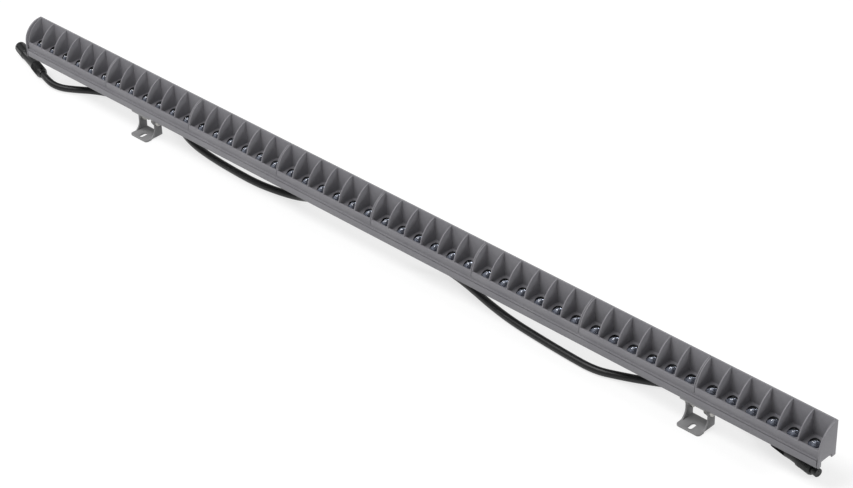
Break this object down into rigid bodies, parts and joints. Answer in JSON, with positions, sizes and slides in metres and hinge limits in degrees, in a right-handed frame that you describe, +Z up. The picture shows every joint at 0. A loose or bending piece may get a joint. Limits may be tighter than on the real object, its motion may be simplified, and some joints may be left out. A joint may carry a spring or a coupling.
{
  "type": "linear wall washer light",
  "caption": "Slim outdoor wall washer: aluminium bar with shaded lens cells, two tilting slotted feet and two leads with waterproof connectors.",
  "frame": {"origin": "bottom centre of the box round the light and its feet, leads left out, on the surface that the feet stand on", "axes": "+X along the light towards the lead with the socket, -Y the side of the visor's open front, +Z up"},
  "size_m": [1.0515, 0.0533, 0.0619],
  "materials": {
    "powder_coat_grey": "satin grey powder coat on extruded and die-cast aluminium",
    "visor_grey": "moulded visor, painted the housing's grey",
    "bracket_grey": "steel sheet, light grey satin coat",
    "gasket_rubber": "matt black silicone",
    "thermal_pad": "soft grey gap pad",
    "board_dark": "dark solder mask",
    "led_clear": "clear silicone over the chips",
    "driver_black": "moulded package",
    "lens_clear": "clear polycarbonate",
    "steel": "stainless steel",
    "boot_black": "moulded rubber",
    "core_insulation": "coloured insulation",
    "lead_black": "matt rubber jacket",
    "connector_black": "overmoulded",
    "nut_black": "knurled nylon",
    "pin_brass": "gilt"
  },
  "bodies": {
    "lamp": {"board_jumper": "driver_black", "cable_boot_left": "boot_black", "cable_boot_right": "boot_black", "cap_gasket_left": "gasket_rubber", "cap_gasket_right": "gasket_rubber", "clamp_screws": "steel", "driver_chips_left": "driver_black", "driver_chips_right": "driver_black", "end_cap_left": "powder_coat_grey", "end_cap_right": "powder_coat_grey", "housing_extrusion": "powder_coat_grey", "lead_left": "lead_black", "lead_right": "lead_black", "led_board_left": "board_dark", "led_board_right": "board_dark", "led_chips_left": "led_clear", "led_chips_right": "led_clear", "lens_strips": "lens_clear", "pivot_nuts": "steel", "pivot_screws": "steel", "plug_body": "connector_black", "plug_pins": "pin_brass", "plug_seal": "gasket_rubber", "saddle_left": "bracket_grey", "saddle_right": "bracket_grey", "slide_nuts": "steel", "socket_body": "connector_black", "socket_contacts": "pin_brass", "thermal_pad_left": "thermal_pad", "thermal_pad_right": "thermal_pad", "visor_modules": "visor_grey", "wire_cores": "core_insulation"},
    "foot_left": {"foot_left": "bracket_grey"},
    "foot_right": {"foot_right": "bracket_grey"},
    "coupling_nut": {"coupling_nut": "nut_black"}
  },
  "joints": [
    {"name": "foot_left_tilt", "type": "hinge", "parent": "lamp", "child": "foot_left", "pos_m": [-0.3212, 0.00278, 0.016], "axis": [1, 0, 0], "range_deg": [-90, 90]},
    {"name": "foot_right_tilt", "type": "hinge", "parent": "lamp", "child": "foot_right", "pos_m": [0.3735, 0.00278, 0.016], "axis": [1, 0, 0], "range_deg": [-90, 90]},
    {"name": "coupling_nut_turn", "type": "hinge", "parent": "lamp", "child": "coupling_nut", "pos_m": [-0.4844, -0.003, 0.00615], "axis": [-0.9511, 0.309, 0], "continuous": true}
  ]
}
